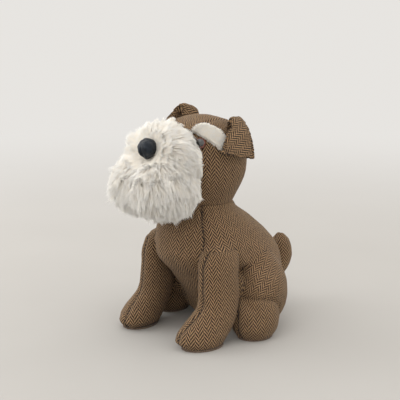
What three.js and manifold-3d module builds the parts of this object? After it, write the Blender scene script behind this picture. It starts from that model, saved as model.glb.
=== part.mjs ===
// A weighted door stop in the shape of a seated terrier: a stuffed tweed body with legs,
// head, folded ears and tail, a shaggy pile muzzle with a padded nose, pile brows, safety
// eyes, and a bag of sand in the seat that a sewn base panel closes in.
// Millimetres, +Z up, the dog faces -Y and its left side is +X.

import * as THREE from "three";
import { mergeVertices } from "three/addons/utils/BufferGeometryUtils.js";
import Module from "manifold-3d";

const wasm = await Module();
wasm.setup();

// Fits

const SEAM_GAP = 0.3; // between two pieces that are sewn or pressed together

// Flat pieces on the floor

const SOLE_THICKNESS = 2;
const PANEL_THICKNESS = 2;
const HEM = 1; // how far a sole or the base panel reaches past the piece above it

// Torso: oval levels, each with its height, its reach to front and back, and its half width

const NECK_HEIGHT = 147;
const SEAT = { height: PANEL_THICKNESS + SEAM_GAP, front: 54, back: 114, half: 40 };
const SEAT_ROUND = { height: 12, front: 44, back: 128, half: 57 };
const RUMP = { height: 34, front: 32, back: 136, half: 66 };
const BELLY = { height: 62, front: 11, back: 137, half: 65.5 };
const CHEST_LOW = { height: 88, front: -14, back: 130, half: 63 };
const CHEST = { height: 110, front: -14, back: 112, half: 57 };
const CHEST_HIGH = { height: 126, front: -9, back: 94, half: 48 };
const NAPE = { height: 138, front: 2, back: 76, half: 39.5 };
const COLLAR = { height: NECK_HEIGHT, front: 6, back: 70, half: 35 };
const TORSO_LEVELS = [
  SEAT, SEAT_ROUND, RUMP, BELLY, CHEST_LOW, CHEST, CHEST_HIGH, NAPE, COLLAR,
];

// Sand bag in the seat, with its wall of stuffing all round

const BAG_BOTTOM = { height: SEAT.height + SEAM_GAP, front: 62, back: 106, half: 30 };
const BAG_FULL = { height: 26, front: 52, back: 118, half: 46 };
const BAG_SHOULDER = { height: 54, front: 46, back: 116, half: 44 };
const BAG_TOP = { height: 72, front: 68, back: 94, half: 16 };
const BAG_LEVELS = [BAG_BOTTOM, BAG_FULL, BAG_SHOULDER, BAG_TOP];

// Head

const THROAT = { ...COLLAR, height: NECK_HEIGHT + SEAM_GAP };
const JOWL = { height: 158, front: 0, back: 76, half: 40 };
const CHEEK = { height: 174, front: -7, back: 83, half: 48 };
const TEMPLE = { height: 195, front: -9, back: 85, half: 50 };
const FOREHEAD = { height: 218, front: -4, back: 80, half: 45 };
const BROW_LINE = { height: 233, front: 8, back: 68, half: 33 };
const CROWN = { height: 241, front: 30, back: 46, half: 9 };
const HEAD_LEVELS = [THROAT, JOWL, CHEEK, TEMPLE, FOREHEAD, BROW_LINE, CROWN];

// Front legs, each level measured from the leg's own middle line

const FRONT_LEG_SPREAD = 53;
const FRONT_TOE_IN = 12; // degrees
const FRONT_LEAN = 0.07; // how far the legs lean toward each other for each unit up
const PAW_BOTTOM = { height: SOLE_THICKNESS + SEAM_GAP, front: -34, back: 13, half: 17 };
const PAW = { height: 11, front: -42, back: 20, half: 21 };
const PAW_TOP = { height: 24, front: -31, back: 30, half: 20 };
const ANKLE = { height: 40, front: -14, back: 36, half: 17 };
const FORELEG = { height: 66, front: -10, back: 37, half: 15.5 };
const SHOULDER = { height: 95, front: -7, back: 38, half: 15.5 };
const SHOULDER_TOP = { height: 106, front: 0, back: 33, half: 10.5 };
const FRONT_LEG_LEVELS = [
  PAW_BOTTOM, PAW, PAW_TOP, ANKLE, FORELEG, SHOULDER, SHOULDER_TOP,
];

// Haunches and hind feet, each level measured from the leg's own middle line

const HAUNCH_SPREAD = 58;
const HAUNCH_LOW = { height: 6, front: 50, back: 92, half: 12 };
const HAUNCH_FULL = { height: 34, front: 34, back: 106, half: 26 };
const HAUNCH_MID = { height: 60, front: 34, back: 106, half: 25 };
const HAUNCH_TOP = { height: 90, front: 62, back: 84, half: 6 };
const HAUNCH_LEVELS = [HAUNCH_LOW, HAUNCH_FULL, HAUNCH_MID, HAUNCH_TOP];
const HIND_FOOT_SPREAD = 68;
const HIND_BOTTOM = { height: SOLE_THICKNESS + SEAM_GAP, front: 34, back: 74, half: 17 };
const HIND_FOOT = { height: 13, front: 27, back: 80, half: 23 };
const HIND_INSTEP = { height: 28, front: 31, back: 78, half: 21 };
const HIND_TOP = { height: 39, front: 44, back: 66, half: 10 };
const HIND_FOOT_LEVELS = [HIND_BOTTOM, HIND_FOOT, HIND_INSTEP, HIND_TOP];

// Tail: its height on the rump, its radius, and its bends as reach behind the rump and rise

const TAIL_HEIGHT = 38;
const TAIL_RADIUS = 13;
const TAIL_ROOT = { reach: -14, rise: -6 };
const TAIL_BEND = { reach: 15, rise: 1 };
const TAIL_TURN = { reach: 32, rise: 15 };
const TAIL_TIP = { reach: 32, rise: 45 };
const TAIL_ROUNDS_FROM = 0.72; // share of its length where the tail begins to round off
const TAIL_BLUNT = 0.2; // share of the radius that is left at the very tip

// Muzzle: long pile in two lobes under the nose and a bridge behind it

const LOBE_HEIGHT = 175.5;
const LOBE_SPREAD = 14; // from the middle of the face to the middle of each lobe
const LOBE_AHEAD = 22; // a lobe's middle in front of the head's front
const LOBE_HALF = new THREE.Vector3(34, 36, 37);
const BRIDGE_HEIGHT = 204;
const BRIDGE_AHEAD = 10;
const BRIDGE_HALF = new THREE.Vector3(48, 29, 35);
const TUFT_ROWS = 6;
const TUFTS_AROUND = 10;
const TUFT_LIFT = 3.5; // how far the tufts of a row stand up at their tips
const TUFT_TIP = 0.95; // share of a row's width where its tufts are highest
const TUFT_ROOT = 0.2; // share of a row's width where they come out from under the last row
const PILE_LEAN = 0.3; // how far the crown of the pile leans forward for each unit up

// Nose

const NOSE_HEIGHT = 212;
const NOSE_HALF = new THREE.Vector3(10.5, 10, 11);
const NOSE_SUNK = 3; // how far the nose's middle lies inside the pile of the bridge

// Eyes, by bearing from straight ahead and height on the head

const EYE_BEARING = 42; // degrees
const EYE_HEIGHT = 217;
const EYE_DIAMETER = 12.5;
const EYE_RISE = 5;
const EYE_SHANK_DIAMETER = 3;
const EYE_SHANK_LENGTH = 9;
const EYE_SEAT = 1; // how deep the cap sits in the cloth

// Brows: short pile patches with a straight lower edge, placed by the middle of that edge

const BROW_BEARING = 51; // degrees
const BROW_HEIGHT = 221;
const BROW_THICKNESS = 5;
const BROW_LENGTH = 38;
const BROW_RISE = 16;
const BROW_TILT = 36; // degrees that the outer end drops
const BROW_CUT = 40; // length of the outline that cuts the patch

// Ears: a strip of tweed that leaves the side of the crown, folds over and hangs down. Its
// bends are measured from the root, along the front and the rear edge.

const EAR_BEARING = 102; // degrees
const EAR_HEIGHT = 228;
const EAR_THICKNESS = 5;
const EAR_FRONT = [
  [-3, -7, -6], [0, -7, 9], [3, -7, 16], [8, -9, 12], [14, -22, -3], [18, -33, -19],
];
const EAR_REAR = [
  [-8, 17, -6], [-6, 18, 8], [-3, 18, 12.5], [3, 17, 10.5], [16, 14, -6], [24, 11, -30],
];

// Fineness of the skins: rings along a form and points round it

const TORSO_FINENESS = [18, 28];
const HEAD_FINENESS = [16, 28];
const LEG_FINENESS = [14, 20];
const HAUNCH_FINENESS = [10, 20];
const FOOT_FINENESS = [9, 18];
const BAG_FINENESS = [7, 18];
const EAR_FINENESS = [14, 12];
const TAIL_FINENESS = [11, 14];
const NOSE_FINENESS = [12, 18];
const EYE_FINENESS = [5, 18];
const PLATE_POINTS = 24;
const PILE_POINTS = 3; // round the ball for each tuft

// A solid from a closed geometry, swollen along its normals where a neighbour needs a gap.
function solid(geometry, swell = 0) {
  const bare = geometry.clone();
  bare.deleteAttribute("normal");
  bare.deleteAttribute("uv");
  const merged = mergeVertices(bare, 1e-3);
  merged.computeVertexNormals();
  const { position, normal } = merged.attributes;
  for (let i = 0; i < position.count; i++) {
    position.setXYZ(
      i,
      position.getX(i) + swell * normal.getX(i),
      position.getY(i) + swell * normal.getY(i),
      position.getZ(i) + swell * normal.getZ(i),
    );
  }
  return new wasm.Manifold(
    new wasm.Mesh({
      numProp: 3,
      vertProperties: position.array,
      triVerts: new Uint32Array(merged.index.array),
    }),
  );
}

function geometryOf(made) {
  const mesh = made.getMesh();
  const geometry = new THREE.BufferGeometry();
  geometry.setAttribute("position", new THREE.BufferAttribute(mesh.vertProperties, 3));
  geometry.setIndex(new THREE.BufferAttribute(mesh.triVerts, 1));
  geometry.computeVertexNormals();
  return geometry;
}

// The other side's copy of a piece, with its faces turned to point out again.
function mirrored(geometry) {
  const copy = geometry.clone().scale(-1, 1, 1);
  const faces = copy.index.array;
  for (let i = 0; i < faces.length; i += 3) {
    [faces[i + 1], faces[i + 2]] = [faces[i + 2], faces[i + 1]];
  }
  copy.computeVertexNormals();
  return copy;
}

// A closed skin over a stack of rings, each with the same number of points.
function skin(rings) {
  const count = rings[0].length;
  const points = rings.flat();
  const faces = [];
  for (let level = 0; level + 1 < rings.length; level++) {
    for (let i = 0; i < count; i++) {
      const a = level * count + i;
      const b = level * count + ((i + 1) % count);
      faces.push(a, b, b + count, a, b + count, a + count);
    }
  }
  const first = points.push(middleOf(rings[0])) - 1;
  const last = points.push(middleOf(rings.at(-1))) - 1;
  const lastRing = (rings.length - 1) * count;
  for (let i = 0; i < count; i++) {
    const next = (i + 1) % count;
    faces.push(first, next, i, last, lastRing + i, lastRing + next);
  }
  const geometry = new THREE.BufferGeometry().setFromPoints(points);
  geometry.setIndex(faces);
  return geometry;
}

// Equal steps once round a circle.
function circle(count) {
  return Array.from({ length: count }, (_, i) => (2 * Math.PI * i) / count);
}

function middleOf(ring) {
  const sum = new THREE.Vector3();
  ring.forEach((point) => sum.add(point));
  return sum.divideScalar(ring.length);
}

// The oval at a share of the way up a stack of levels, smooth from one level to the next.
function ovalAt(levels, share) {
  const rows = levels.map(({ height, front, back, half }) => [height, front, back, half]);
  const along = [0];
  rows.slice(1).forEach((row, i) => {
    along.push(along[i] + Math.hypot(row[0] - rows[i][0], row[3] - rows[i][3]));
  });
  const curve = new THREE.CubicInterpolant(along, rows.flat(), 4);
  const [height, front, back, half] = curve.evaluate(share * along.at(-1));
  return { height, middle: (front + back) / 2, depth: (back - front) / 2, half };
}

function pointOnOval({ height, middle, depth, half }, bearing) {
  return new THREE.Vector3(half * Math.sin(bearing), middle - depth * Math.cos(bearing), height);
}

// A stuffed form: a smooth closed skin through oval levels.
function stuffed(levels, [rings, around]) {
  const stack = Array.from({ length: rings + 1 }, (_, ring) => {
    const oval = ovalAt(levels, ring / rings);
    return circle(around).map((bearing) => pointOnOval(oval, bearing));
  });
  return skin(stack);
}

// The point of a stuffed form at a height and a bearing in degrees from straight ahead.
function pointOn(levels, bearing, height) {
  let low = 0;
  let high = 1;
  while (high - low > 1e-5) {
    const share = (low + high) / 2;
    if (ovalAt(levels, share).height < height) low = share;
    else high = share;
  }
  return pointOnOval(ovalAt(levels, low), THREE.MathUtils.degToRad(bearing));
}

// The way out of a stuffed form there.
function outwardOn(levels, bearing, height) {
  const across = pointOn(levels, bearing + 1, height).sub(pointOn(levels, bearing - 1, height));
  const up = pointOn(levels, bearing, height + 1).sub(pointOn(levels, bearing, height - 1));
  return across.cross(up).normalize();
}

// A flat oval plate on the floor under a level of a stuffed form.
function plateUnder({ front, back, half }, thickness) {
  return new THREE.CylinderGeometry(1, 1, thickness, PLATE_POINTS)
    .rotateX(Math.PI / 2)
    .scale(half + HEM, (back - front) / 2 + HEM, 1)
    .translate(0, (front + back) / 2, thickness / 2);
}

// A ball of pile: rows of tufts that start at a pole and lie over one another like shingles.
function pileBall(middle, half, pole) {
  const side = new THREE.Vector3(1, 0, 0);
  const over = pole.clone().cross(side).normalize();
  const stack = [];
  for (let row = TUFT_ROWS - 1; row >= 0; row--) {
    for (const share of [TUFT_TIP, TUFT_ROOT]) {
      const fall = ((row + share) * Math.PI) / TUFT_ROWS;
      const ring = circle(TUFTS_AROUND * PILE_POINTS).map((turn) => {
        const tuft = Math.abs(Math.cos((TUFTS_AROUND / 2) * turn + (row % 2) * (Math.PI / 2)));
        const way = new THREE.Vector3()
          .addScaledVector(pole, Math.cos(fall))
          .addScaledVector(side, Math.sin(fall) * Math.cos(turn))
          .addScaledVector(over, Math.sin(fall) * Math.sin(turn));
        const reach = 1 / way.clone().divide(half).length();
        return way.multiplyScalar(reach + TUFT_LIFT * share * tuft).add(middle);
      });
      stack.push(ring);
    }
  }
  return solid(skin(stack));
}

function headFront(height) {
  return pointOn(HEAD_LEVELS, 0, height).y;
}

function muzzlePile() {
  const up = new THREE.Vector3(0, -PILE_LEAN, 1).normalize();
  const lobeY = headFront(LOBE_HEIGHT) - LOBE_AHEAD;
  const [left, right] = [LOBE_SPREAD, -LOBE_SPREAD].map((x) =>
    pileBall(new THREE.Vector3(x, lobeY, LOBE_HEIGHT), LOBE_HALF, up),
  );
  const bridgeY = headFront(BRIDGE_HEIGHT) - BRIDGE_AHEAD;
  const bridge = pileBall(new THREE.Vector3(0, bridgeY, BRIDGE_HEIGHT), BRIDGE_HALF, up);
  return bridge.add(left).add(right);
}

function nose() {
  const rise = (NOSE_HEIGHT - BRIDGE_HEIGHT) / BRIDGE_HALF.z;
  const bridgeY = headFront(BRIDGE_HEIGHT) - BRIDGE_AHEAD;
  const pileFront = bridgeY - BRIDGE_HALF.y * Math.sqrt(1 - rise ** 2);
  const [rings, around] = NOSE_FINENESS;
  return new THREE.SphereGeometry(1, around, rings)
    .scale(NOSE_HALF.x, NOSE_HALF.y, NOSE_HALF.z)
    .translate(0, pileFront + NOSE_SUNK, NOSE_HEIGHT);
}

// A safety eye: a domed cap on a shank, pushed into the side of the head.
function eye() {
  const radius = EYE_DIAMETER / 2;
  const shank = EYE_SHANK_DIAMETER / 2;
  const [rings, around] = EYE_FINENESS;
  const profile = [
    new THREE.Vector2(0, -EYE_SHANK_LENGTH),
    new THREE.Vector2(shank, -EYE_SHANK_LENGTH),
    new THREE.Vector2(shank, -EYE_SEAT),
    new THREE.Vector2(radius, -EYE_SEAT),
  ];
  for (let ring = 0; ring < rings; ring++) {
    const turn = (ring / rings) * (Math.PI / 2);
    profile.push(new THREE.Vector2(radius * Math.cos(turn), EYE_RISE * Math.sin(turn)));
  }
  profile.push(new THREE.Vector2(0, EYE_RISE));
  const outward = outwardOn(HEAD_LEVELS, EYE_BEARING, EYE_HEIGHT);
  const turn = new THREE.Quaternion().setFromUnitVectors(new THREE.Vector3(0, 1, 0), outward);
  return new THREE.LatheGeometry(profile, around)
    .applyQuaternion(turn)
    .translate(...pointOn(HEAD_LEVELS, EYE_BEARING, EYE_HEIGHT));
}

// The outline of a brow, pushed out through the head to cut the patch from a shell round it.
function browCutter() {
  const end = BROW_LENGTH / 2;
  const outline = new THREE.Shape();
  outline.moveTo(-end, 0);
  outline.bezierCurveTo(-end, BROW_RISE * 0.9, -end * 0.5, BROW_RISE, end * 0.3, BROW_RISE);
  outline.bezierCurveTo(end * 0.8, BROW_RISE, end, BROW_RISE * 0.5, end, 0);
  outline.closePath();
  const outward = outwardOn(HEAD_LEVELS, BROW_BEARING, BROW_HEIGHT);
  const along = new THREE.Vector3(0, 0, 1).cross(outward).normalize();
  const frame = new THREE.Matrix4().makeBasis(along, outward.clone().cross(along), outward);
  frame.setPosition(pointOn(HEAD_LEVELS, BROW_BEARING, BROW_HEIGHT));
  return new THREE.ExtrudeGeometry(outline, { depth: BROW_CUT, bevelEnabled: false, curveSegments: 6 })
    .translate(0, 0, -BROW_CUT / 2)
    .rotateZ(THREE.MathUtils.degToRad(-BROW_TILT))
    .applyMatrix4(frame);
}

// An ear: flat ovals between its two edges, from the root over the fold to the tip.
function ear() {
  const root = pointOn(HEAD_LEVELS, EAR_BEARING, EAR_HEIGHT);
  const [front, rear] = [EAR_FRONT, EAR_REAR].map(
    (bends) => new THREE.CatmullRomCurve3(bends.map((bend) => new THREE.Vector3(...bend).add(root))),
  );
  const middle = (share) => front.getPoint(share).lerp(rear.getPoint(share), 0.5);
  const [steps, around] = EAR_FINENESS;
  const stack = Array.from({ length: steps + 1 }, (_, step) => {
    const share = step / steps;
    const across = rear.getPoint(share).sub(front.getPoint(share)).divideScalar(2);
    const ahead = middle(Math.min(share + 0.02, 1)).sub(middle(Math.max(share - 0.02, 0)));
    const through = ahead.clone().cross(across).setLength(EAR_THICKNESS / 2);
    return circle(around).map((turn) =>
      middle(share)
        .addScaledVector(across, Math.cos(turn))
        .addScaledVector(through, Math.sin(turn)),
    );
  });
  return skin(stack);
}

// A stuffed tube that leaves the rump, curls up and rounds off.
function tail() {
  const rump = pointOn(TORSO_LEVELS, 180, TAIL_HEIGHT);
  const bends = [TAIL_ROOT, TAIL_BEND, TAIL_TURN, TAIL_TIP];
  const path = new THREE.CatmullRomCurve3(
    bends.map(({ reach, rise }) => new THREE.Vector3(0, rump.y + reach, rump.z + rise)),
  );
  const side = new THREE.Vector3(1, 0, 0);
  const [steps, around] = TAIL_FINENESS;
  const stack = Array.from({ length: steps + 1 }, (_, step) => {
    const share = step / steps;
    const past = Math.max(0, (share - TAIL_ROUNDS_FROM) / (1 - TAIL_ROUNDS_FROM));
    const radius = TAIL_RADIUS * Math.max(TAIL_BLUNT, Math.sqrt(1 - past ** 2));
    const over = path.getTangent(share).cross(side);
    return circle(around).map((turn) =>
      path
        .getPoint(share)
        .addScaledVector(side, radius * Math.cos(turn))
        .addScaledVector(over, radius * Math.sin(turn)),
    );
  });
  return skin(stack);
}

const cloth = (colour, roughness) =>
  new THREE.MeshStandardMaterial({ color: colour, roughness, metalness: 0 });
const TWEED = cloth(0x8a7360, 0.95);
const PILE = cloth(0xf2ede2, 1);
const SATIN = cloth(0x16171a, 0.55);
const GLASSY = cloth(0x3a1a12, 0.15);
const CANVAS = cloth(0x7a6654, 0.9);
const SAND = cloth(0xc2a878, 1);

const dog = new THREE.Group();

function place(name, geometry, material) {
  const mesh = new THREE.Mesh(geometry, material);
  mesh.name = name;
  dog.add(mesh);
}

// One piece on the dog's left and its mirror image on the right.
function placePair(name, made, material) {
  const left = geometryOf(made);
  place(name + "_left", left, material);
  place(name + "_right", mirrored(left), material);
}

// Both sides of a piece as one cutter, swollen by the seam gap.
function pairCutter(geometry) {
  return solid(geometry, SEAM_GAP).add(solid(mirrored(geometry), SEAM_GAP));
}

const torsoForm = stuffed(TORSO_LEVELS, TORSO_FINENESS);
const headForm = stuffed(HEAD_LEVELS, HEAD_FINENESS);
const bagForm = stuffed(BAG_LEVELS, BAG_FINENESS);
const noseForm = nose();
const eyeForm = eye();
const earForm = ear();
const haunchForm = stuffed(HAUNCH_LEVELS, HAUNCH_FINENESS).translate(HAUNCH_SPREAD, 0, 0);
const [frontLegForm, frontSoleForm] = [
  stuffed(FRONT_LEG_LEVELS, LEG_FINENESS),
  plateUnder(PAW_BOTTOM, SOLE_THICKNESS),
].map((form) =>
  form
    .rotateZ(THREE.MathUtils.degToRad(-FRONT_TOE_IN))
    .applyMatrix4(new THREE.Matrix4().makeShear(0, 0, 0, 0, -FRONT_LEAN, 0))
    .translate(FRONT_LEG_SPREAD, 0, 0),
);
const [hindFootForm, hindSoleForm] = [
  stuffed(HIND_FOOT_LEVELS, FOOT_FINENESS),
  plateUnder(HIND_BOTTOM, SOLE_THICKNESS),
].map((form) => form.translate(HIND_FOOT_SPREAD, 0, 0));

const aroundTorso = solid(torsoForm, SEAM_GAP);
const aroundHead = solid(headForm, SEAM_GAP);
const aroundBag = solid(bagForm, SEAM_GAP).add(
  solid(plateUnder(BAG_BOTTOM, BAG_BOTTOM.height * 2 + SEAM_GAP)),
);

place("torso", geometryOf(solid(torsoForm).subtract(aroundBag)), TWEED);
place("weight_pouch", bagForm, SAND);
place("base_panel", plateUnder(SEAT, PANEL_THICKNESS), CANVAS);
place("head", geometryOf(solid(headForm).subtract(pairCutter(eyeForm))), TWEED);

const haunch = solid(haunchForm).subtract(aroundTorso).subtract(solid(frontLegForm, SEAM_GAP));
placePair("front_leg", solid(frontLegForm).subtract(aroundTorso), TWEED);
placePair("front_sole", solid(frontSoleForm), CANVAS);
placePair("haunch", haunch, TWEED);
const aroundHaunch = solid(haunchForm, SEAM_GAP);
placePair("hind_foot", solid(hindFootForm).subtract(aroundTorso).subtract(aroundHaunch), TWEED);
placePair("hind_sole", solid(hindSoleForm), CANVAS);
place("tail", geometryOf(solid(tail()).subtract(aroundTorso)), TWEED);

const ears = solid(earForm).subtract(aroundHead);
placePair("ear", ears, TWEED);
placePair("eye", solid(eyeForm), GLASSY);
const shell = solid(headForm, SEAM_GAP + BROW_THICKNESS).subtract(aroundHead);
const brow = shell
  .intersect(solid(browCutter()))
  .subtract(solid(earForm, SEAM_GAP))
  .subtract(solid(eyeForm, SEAM_GAP));
placePair("brow", brow, PILE);
const aroundBrows = pairCutter(geometryOf(brow));
place("nose", noseForm, SATIN);
const muzzle = muzzlePile()
  .subtract(aroundHead)
  .subtract(aroundTorso)
  .subtract(aroundBrows)
  .subtract(pairCutter(eyeForm))
  .subtract(solid(noseForm, SEAM_GAP));
place("muzzle", geometryOf(muzzle), PILE);

// The origin is on the floor, under the middle of the whole dog.
const box = new THREE.Box3().setFromObject(dog);
const middle = box.getCenter(new THREE.Vector3());
dog.position.set(-middle.x, -middle.y, -box.min.z);

export default dog;
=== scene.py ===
# Looks of a seated dog door stop: sewn tweed skins with laid herringbone, seams and
# stitches, a long pile muzzle, pile brows, a velvet nose and glossy eyes.
import math

import bmesh
import bpy
import numpy as np
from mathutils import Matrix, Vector, kdtree, noise
from mathutils.bvhtree import BVHTree


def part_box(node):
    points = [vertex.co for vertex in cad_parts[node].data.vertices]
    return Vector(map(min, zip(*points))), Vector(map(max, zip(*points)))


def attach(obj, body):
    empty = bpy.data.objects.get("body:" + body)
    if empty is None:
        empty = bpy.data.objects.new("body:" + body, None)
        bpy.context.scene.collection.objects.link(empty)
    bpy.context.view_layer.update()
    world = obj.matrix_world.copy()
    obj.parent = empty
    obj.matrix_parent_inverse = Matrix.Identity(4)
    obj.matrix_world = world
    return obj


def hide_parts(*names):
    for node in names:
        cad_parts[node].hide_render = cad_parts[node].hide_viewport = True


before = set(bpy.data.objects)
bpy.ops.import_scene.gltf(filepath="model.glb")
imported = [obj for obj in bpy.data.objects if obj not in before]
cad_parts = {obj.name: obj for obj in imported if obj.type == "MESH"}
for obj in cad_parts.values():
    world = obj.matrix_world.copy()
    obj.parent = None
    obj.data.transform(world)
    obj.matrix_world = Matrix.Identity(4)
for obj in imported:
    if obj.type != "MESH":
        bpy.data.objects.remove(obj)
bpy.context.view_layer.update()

MM = 0.001
RANDOM = np.random.default_rng(7)
noise.seed_set(7)  # left alone it is the time of the run, and moves the noise vectors
SCENE = bpy.context.scene

# Skins
BODY_VOXEL = 1.6 * MM
HEAD_VOXEL = 1.5 * MM
SMALL_VOXEL = 1.2 * MM
MUZZLE_VOXEL = 2.5 * MM
MEET = 0.5 * MM  # copies of neighbours are swollen by this, so that they become one skin
CLOTH_ROUNDS = 14  # of smoothing

# Weave, in metres of cloth
COLUMN = 4.4 * MM  # width of one herringbone column
TWILL_PITCH = 4.3 * MM  # height of one dark and one light line
TWILL_RISE = 1.55  # rise of a line for each unit across its column
COLUMNS_BEFORE = 200  # added with the lines, so that the weave never counts below 0
LINES_BEFORE = 500
YARN_SHIVER = 0.9 * MM
YARN_EDGE = (0.25, 0.33)

# Colours
TWEED_LIGHT = (0.395, 0.245, 0.122, 1)
TWEED_SAND = (0.24, 0.145, 0.073, 1)
TWEED_DARK = (0.007, 0.004, 0.003, 1)
TWEED_BROWN = (0.022, 0.011, 0.006, 1)
TWEED_HAIRS = (0.8, 0.64, 0.5, 1)
# colour of the painted shade in the seams' grooves
SEAM_DARK = (0.012, 0.007, 0.005, 1)
SEAM_SHADE = 0.45
PILE_TIP = (0.93, 0.925, 0.9, 1)
# warmer and darker toward the roots: painted warm shade deep in the pile
PILE_SHADED_ROOT = (0.94, 0.885, 0.79, 1)
# black, and a lighter bluish tone of painted sheen
VELVET_TONE_AND_SHEEN = ((0.001, 0.001, 0.002, 1), (0.012, 0.015, 0.021, 1))
VELVET_GLEAM = (0.75, 0.85, 1.0, 1)
PUPIL = (0.003, 0.003, 0.003, 1)
IRIS = (0.13, 0.028, 0.014, 1)
IRIS_RIM = (0.05, 0.012, 0.008, 1)
CANVAS_GAP = (0.07, 0.045, 0.03, 1)
CANVAS_TONES = ((0.12, 0.08, 0.055, 1), (0.2, 0.14, 0.1, 1))
THREAD_TONES = ((0.006, 0.004, 0.003, 1), (0.02, 0.012, 0.008, 1))

# Seams
GROOVE_DEPTH = 1.1 * MM
GROOVE_WIDTH = 2.2 * MM
SEAM_REACH = 12 * MM
SEAM_SWELL = 0.35 * MM  # how far the cloth stands up beside a seam
SWELL_ASIDE = 5 * MM
SWELL_WIDTH = 3 * MM
BOLD_WIDTH = 1.3 * MM  # width of the painted shade along a seam that shows its thread
FAINT_WIDTH = 1.1 * MM  # and of the fainter painted shade along any other seam
FAINT_SHADE = 0.35
STITCH_PITCH = 4.1 * MM
STITCH_LENGTH = 2.8 * MM
STITCH_RADIUS = 0.75 * MM
STITCH_ARCH = 0.3 * MM
RUMPLES = ((22 * MM, 0.9 * MM), (7 * MM, 0.25 * MM))  # size and height of the cloth's unevenness

# Body: places are x, y or z of the part, and a slope is given as where it starts and ends
SIDES = {"left": 1, "right": -1}
TOE_IN = math.radians(12)
LEG_SPREAD = 53 * MM
LEG_LEAN = 0.07
LEG_MIDDLE = -57.6 * MM
LEG_SEAM_ASIDE = 4.5 * MM
LEG_SEAM_SLOPE = (12 * MM, 40 * MM)
FOOT_SPREAD = 68 * MM
SHOULDER_SEAM = 103 * MM
THIGH_BACK = 40 * MM
THIGH_TURN = math.radians(48)
CHEST_BACK = 5 * MM
CHEST_SEAM = (  # height and distance from the middle, in millimetres
    (20, 30), (60, 42), (85, 47.5), (93, 43.2), (103, 40.6),
    (113, 39.1), (121.5, 36.1), (128, 32.9), (145, 23.8),
)
LIMBS = [f"{part}_{side}" for part in ("front_leg", "haunch", "hind_foot") for side in SIDES]
CHEST = 0
SIDE_PANEL = {"left": 1, "right": 2}
LEG_OUTER = {"left": 3, "right": 4}
LEG_INNER = {"left": 5, "right": 6}
FOOT_OUTER = {"left": 7, "right": 8}
FOOT_INNER = {"left": 9, "right": 10}
THIGH = {"left": 11, "right": 12}
SOFT_ROUNDS = 60  # smoothing over the shoulders and behind the front legs
SOFT_ASIDE = (24 * MM, 40 * MM)
SOFT_SHOULDER = ((84 * MM, 98 * MM), (110 * MM, 125 * MM))
SOFT_REAR = (-4 * MM, 12 * MM)
SOFT_REAR_HEIGHT = (40 * MM, 52 * MM)
FULLER = (  # place on the left side, reach and height of each soft swell, in millimetres
    ((45, 58, 86), 30, 4),
    ((72, 0, 18), 26, 2.5),
)
RIGHT_LEG_SHIFT = np.array((2.5, 1.5, 0)) * MM
SHIFT_HEIGHT = ((12 * MM, 45 * MM), (92 * MM, 118 * MM))
SHIFT_ASIDE = (22 * MM, 36 * MM)
SHIFT_AHEAD = (8 * MM, 24 * MM)
FOOT_RISE = 9 * MM
RISE_HEIGHT = ((8 * MM, 34 * MM), (38 * MM, 78 * MM))
RISE_ASIDE = (36 * MM, 54 * MM)
RISE_ALONG = ((-44 * MM, -30 * MM), (18 * MM, 36 * MM))
LOWEST_CLOTH = 1.6 * MM
THIGH_FOLD = np.array(  # height and place of the fold between each thigh and the belly
    ((36, -19), (46, -18), (58, -16), (70, -13), (78, -11), (86, -8))
) * MM
FOLD_START = 6 * MM  # how far the fold's lower end runs in and out
FOLD_END = 14 * MM
FOLD_ASIDE = (42 * MM, 54 * MM)
BELLY_DRAW = 9 * MM
DRAW_SLOPE = (-2 * MM, 3 * MM)
CREASE_DEPTH = 7 * MM
CREASE_WIDTH = 2.4 * MM
PUCKER_DEPTH = 1.6 * MM
PUCKER_BEHIND = 4 * MM
PUCKER_WIDTH = 5 * MM
PUCKER_SCALE = (60, 200)  # along the body and up it

# Head, ears, tail, eyes and nose
GUSSET = ((0, 9), (60, 17), (90, 21.5))  # height over the neck and half width, in millimetres
GUSSET_FRONT = 60 * MM
EAR_CLOSING = 2.4 * MM  # half the width of the gaps in the fold that its cloth fills
EAR_OPENING = 2.2 * MM
# How far the crest of each ear's fold stands up, and its front corner up and back besides
EAR_CREST = {"left": (-2.5 * MM, 0, 1.5 * MM), "right": (1.5 * MM, 3 * MM, 6 * MM)}
CREST_SLOPE = (26 * MM, 6 * MM)  # below the ear's top
EAR_FRONT = -19 * MM
EAR_BREADTH = 25 * MM
EAR_FOLD_ASIDE = 43 * MM
EAR_FOLD_BELOW = 9 * MM
EAR_FALL = np.array((0.0, -2.0, 0.0))
TAIL_FULLNESS = np.array((1.12, 1.08, 1.03))
TAIL_TURN = (8 * MM, 34 * MM)
EYE_RADIUS = 6.25 * MM
EYE_RISE = 5.2 * MM
EYE_SEAT = 1 * MM
EYE_BACK = 5 * MM  # from the top of the cap to its rim in the CAD
NOSE_SHIFT = np.array((2, 0.3, 2)) * MM
NOSE_STRETCH = np.array((1.0, 1, 0.96))
NOSE_SQUARENESS = 0.9
NOSE_TAPER = 0.22
NOSE_FOLD_ASIDE = 2.5 * MM
NOSE_FOLD_WIDTH = 1.3 * MM
NOSE_FOLD_DEPTH = 1.3 * MM
NOSE_RUMPLES = ((7 * MM, 1.7 * MM), (2.5 * MM, 0.3 * MM))

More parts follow.
